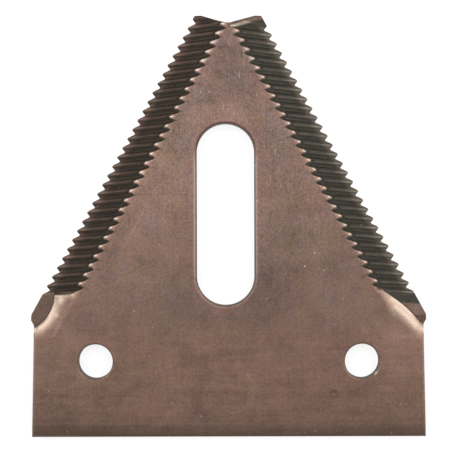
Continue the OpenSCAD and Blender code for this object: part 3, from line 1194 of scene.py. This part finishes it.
def grooveScale(tree, across, clouds):
    # scale in the grooves, with lines that run along them
    alongGrain, acrossGrain, sideGrain = scaleTone["striationGrain"]
    onRight = spread(tree, across, *scaleTone["sideFade"])
    onGroove = addNode(tree, "ShaderNodeCombineXYZ")
    feed(tree, onGroove.inputs[0], times(tree, meshMask(tree, "grooveAlong"), alongGrain))
    feed(tree, onGroove.inputs[1], times(tree, meshMask(tree, "grooveAcross"), acrossGrain))
    feed(tree, onGroove.inputs[2], times(tree, onRight, sideGrain))
    drawn = noise(tree, onGroove.outputs[0], rough=scaleTone["striationRough"], seed=2.2)
    streak = swing(tree, drawn, scaleTone["striation"])
    streak = swing(tree, clouds["Grain"], scaleTone["grain"], streak)
    dark = brighten(tree, blend(tree, onRight, scaleTone["left"], scaleTone["right"]), streak)
    rust = times(tree, meshMask(tree, "brown"), scaleTone["brownShare"])
    dark = blend(tree, rust, dark, brighten(tree, scaleTone["brown"], streak))
    # the crests get bare steel with a painted highlight
    bareAndLitCrest = blend(tree, onRight, scaleTone["leftCrest"], scaleTone["rightCrest"])
    dark = blend(tree, meshMask(tree, "crest"), dark, brighten(tree, bareAndLitCrest, streak))
    return dark, drawn


def makeBrownedSteel():
    material, tree, shader = newMaterial("brownedSteel")
    place = placeInMillimetres(tree)
    clouds = useGroup(tree, steelMottle, place)
    brushed = useGroup(tree, drawnLines, place)["Lines"]
    across, up, _ = separate(tree, place)
    slotGlow = meshMask(tree, "slotGlow")

    def byLength(name):
        return spread(tree, up, *oxide[name + "From"], *oxide[name])

    # how dark the face is
    shade, cool, cup = faceMarks(tree, place)
    rolled = noise(tree, stretch(tree, place, *oxide["rolledGrain"]), detail=4.0, rough=0.62, seed=7.7)
    shade = plus(tree, shade, times(tree, rolled, byLength("rolled")))
    patches = times(tree, clouds["Patches"], oxide["patches"])
    grain = times(tree, clouds["Grain"], byLength("grain"))
    brush = times(tree, brushed, byLength("lines"))
    change = plus(tree, plus(tree, patches, grain), plus(tree, brush, shade))
    tone = times(tree, paintedLightAlongBlade(tree, up), plus(tree, change, 1.0))

    # its colour
    cool = plus(tree, cool, times(tree, clouds["Warmth"], byLength("warmth")))
    cool = reckon(tree, "SUBTRACT", cool, times(tree, slotGlow, oxide["slotWarm"]), clamp=True)
    cool = plus(tree, times(tree, cool, spread(tree, up, *oxide["coolFrom"], *oxide["coolShare"])), cup)
    hue = spread(tree, clouds["Hue"], -oxide["hueSwing"], oxide["hueSwing"], smooth=False)
    hue = reckon(tree, "SUBTRACT", hue, times(tree, slotGlow, oxide["slotRed"]), clamp=True)
    hue = times(tree, hue, byLength("olives"))
    face = blend(tree, hue, blend(tree, cool, oxide["warm"], oxide["cool"]), oxide["olive"])
    face = brighten(tree, face, tone)

    # a darker olive tone on the rolled back edge, which also paints its shade, and the dark rims
    back = spread(tree, up, *oxide["backFrom"], *oxide["backShare"])
    face = blend(tree, back, face, brighten(tree, oxide["back"], tone))
    face = blend(tree, times(tree, meshMask(tree, "rim"), oxide["rimDark"]), face, oxide["rim"])

    # scale, then the rounded places, left bare by wear and lightened as a painted highlight
    dark, drawn = grooveScale(tree, across, clouds)
    scale = meshMask(tree, "scale")
    base = blend(tree, scale, face, dark)
    wornAndLit = times(tree, meshMask(tree, "wearAndHighlight"), polishAndHighlight["amount"])
    base = blend(tree, wornAndLit, base, polishAndHighlight["colour"])
    for marks in (specks, strokes):
        base = blend(tree, brightMarks(tree, place, up, scale, marks), base, marks["colour"])

    feed(tree, shader.inputs["Base Color"], base)
    shader.inputs["Metallic"].default_value = oxide["metallic"]
    rough = swing(tree, clouds["Grain"], oxide["roughGrain"], oxide["roughness"])
    rough = swing(tree, scale, scaleTone["roughness"] - oxide["roughness"], rough)
    rough = swing(tree, wornAndLit, polishAndHighlight["roughness"] - oxide["roughness"], rough)
    feed(tree, shader.inputs["Roughness"], rough)
    height = plus(tree, clouds["Grain"], brushed)
    height = swing(tree, times(tree, drawn, scale), scaleTone["striationRelief"], height)
    addRelief(tree, shader, height, oxide["relief"], oxide["reliefDepth"])
    return material


sheared = {
    "colour": colour(62, 50, 43),
    "light": colour(112, 92, 80),
    "lightShare": 0.5,
    "burnish": (1.3, 2.5),          # height over which the upper part of a wall is burnished
    "torn": (4.0, 4.0, 0.5),
    "tornTone": 0.8,
    "metallic": 0.6,
    "specular": 0.2,
    "roughness": 0.55,
    "burnishRough": -0.15,
    "relief": 0.4,
    "reliefDepth": 0.04,
}


def makeShearedSteel():
    material, tree, shader = newMaterial("shearedSteel")
    place = placeInMillimetres(tree)
    clouds = useGroup(tree, steelMottle, place)
    torn = noise(tree, stretch(tree, place, *sheared["torn"]), seed=4.4)
    height = separate(tree, place)[2]
    burnish = spread(tree, plus(tree, height, torn), *sheared["burnish"])
    base = blend(tree, times(tree, burnish, sheared["lightShare"]), sheared["colour"], sheared["light"])
    feed(tree, shader.inputs["Base Color"], brighten(tree, base, swing(tree, torn, sheared["tornTone"])))
    shader.inputs["Metallic"].default_value = sheared["metallic"]
    shader.inputs["Specular IOR Level"].default_value = sheared["specular"]
    rough = swing(tree, burnish, sheared["burnishRough"], sheared["roughness"])
    feed(tree, shader.inputs["Roughness"], rough)
    addRelief(tree, shader, plus(tree, torn, clouds["Grain"]), sheared["relief"], sheared["reliefDepth"])
    return material


underside = {
    "warm": colour(128, 104, 94),
    "cool": colour(112, 98, 91),
    "warmth": 2.2,
    "patches": 0.5,
    "grain": 0.3,
    "lines": 0.35,
    "metallic": 0.9,
    "roughness": 0.46,
    "roughGrain": 0.2,
    "relief": 0.25,
    "reliefDepth": 0.02,
}


def makeUndersideSteel():
    material, tree, shader = newMaterial("undersideSteel")
    place = placeInMillimetres(tree)
    clouds = useGroup(tree, steelMottle, place)
    brushed = useGroup(tree, drawnLines, place)["Lines"]
    mix = reckon(tree, "ADD", times(tree, clouds["Warmth"], underside["warmth"]), 0.5, clamp=True)
    tone = swing(tree, clouds["Patches"], underside["patches"])
    tone = swing(tree, clouds["Grain"], underside["grain"], tone)
    tone = swing(tree, brushed, underside["lines"], tone)
    base = blend(tree, mix, underside["warm"], underside["cool"])
    feed(tree, shader.inputs["Base Color"], brighten(tree, base, tone))
    shader.inputs["Metallic"].default_value = underside["metallic"]
    rough = swing(tree, clouds["Grain"], underside["roughGrain"], underside["roughness"])
    feed(tree, shader.inputs["Roughness"], rough)
    height = plus(tree, brushed, clouds["Grain"])
    addRelief(tree, shader, height, underside["relief"], underside["reliefDepth"])
    return material


for finish in (makeBrownedSteel(), makeShearedSteel(), makeUndersideSteel()):
    blade.data.materials.append(finish)
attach(blade, "root")
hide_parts("sickle_section")
print("finish made")

stage = {"size": 3.0, "drop": 0.00002, "colour": 0.3, "glow": 0.82}


def makeFloor():
    half = stage["size"] / 2
    z = lowCorner.z - stage["drop"]
    corners = [(-half, -half, z), (half, -half, z), (half, half, z), (-half, half, z)]
    mesh = bpy.data.meshes.new("paleFloor")
    mesh.from_pydata(corners, [], [(0, 1, 2, 3)])
    floor = bpy.data.objects.new("paleFloor", mesh)
    bpy.context.scene.collection.objects.link(floor)
    material, tree, shader = newMaterial("paleFloor")
    shader.inputs["Base Color"].default_value = (stage["colour"],) * 3 + (1,)
    shader.inputs["Roughness"].default_value = 1.0
    shader.inputs["Specular IOR Level"].default_value = 0.0
    path = addNode(tree, "ShaderNodeLightPath")
    seen = reckon(tree, "MAXIMUM", path.outputs["Is Camera Ray"], path.outputs["Is Glossy Ray"])
    seen = reckon(tree, "MAXIMUM", seen, path.outputs["Is Transmission Ray"])
    shader.inputs["Emission Color"].default_value = (1, 1, 1, 1)
    feed(tree, shader.inputs["Emission Strength"], times(tree, seen, stage["glow"]))
    floor.data.materials.append(material)


# two square lamps, tilted from overhead and turned from +X in degrees, that look at the middle of the blade
light = {
    "sky": 0.55,
    "boxes": {"leftBox": (34, 150), "rightBox": (36, 30)},
    "aim": (0, 0.026, 0),
    "distance": 0.8,
    "size": 0.4,
    "radiance": 3.4,
}


def softbox(name, tilt, turn):
    lamp = bpy.data.lights.new(name, "AREA")
    lamp.shape = "SQUARE"
    lamp.size = light["size"]
    lamp.energy = light["radiance"] * math.pi * light["size"] * light["size"]
    box = bpy.data.objects.new(name, lamp)
    bpy.context.scene.collection.objects.link(box)
    tilt = math.radians(tilt)
    turn = math.radians(turn)
    away = Vector((math.sin(tilt) * math.cos(turn), math.sin(tilt) * math.sin(turn), math.cos(tilt)))
    box.location = Vector(light["aim"]) + away * light["distance"]
    box.rotation_euler = away.to_track_quat("Z", "Y").to_euler()


def makeLight():
    world = bpy.data.worlds.new("studioWorld")
    bpy.context.scene.world = world
    world.use_nodes = True
    sky = world.node_tree.nodes["Background"]
    sky.inputs["Color"].default_value = (light["sky"],) * 3 + (1,)
    for name, (tilt, turn) in light["boxes"].items():
        softbox(name, tilt, turn)


view = {
    "x": -0.18,             # millimetres, as the blade
    "y": 25.59,
    "height": 283.0,
    "pixel": 0.193,         # on the underside
    "pixels": 455,
    "roll": -0.15,
    "sensor": 36.0,
}


def makeCamera():
    camera = bpy.data.cameras.new("photoView")
    camera.sensor_width = view["sensor"]
    camera.lens = view["sensor"] * view["height"] / (view["pixel"] * view["pixels"])
    eye = bpy.data.objects.new("photoView", camera)
    eye.location = Vector((view["x"], view["y"], view["height"])) * mm
    eye.rotation_euler = (0, 0, math.radians(view["roll"]))
    bpy.context.scene.collection.objects.link(eye)
    bpy.context.scene.camera = eye


makeFloor()
makeLight()
makeCamera()
bpy.context.scene.view_settings.view_transform = "Standard"
print("stage, light and camera made")
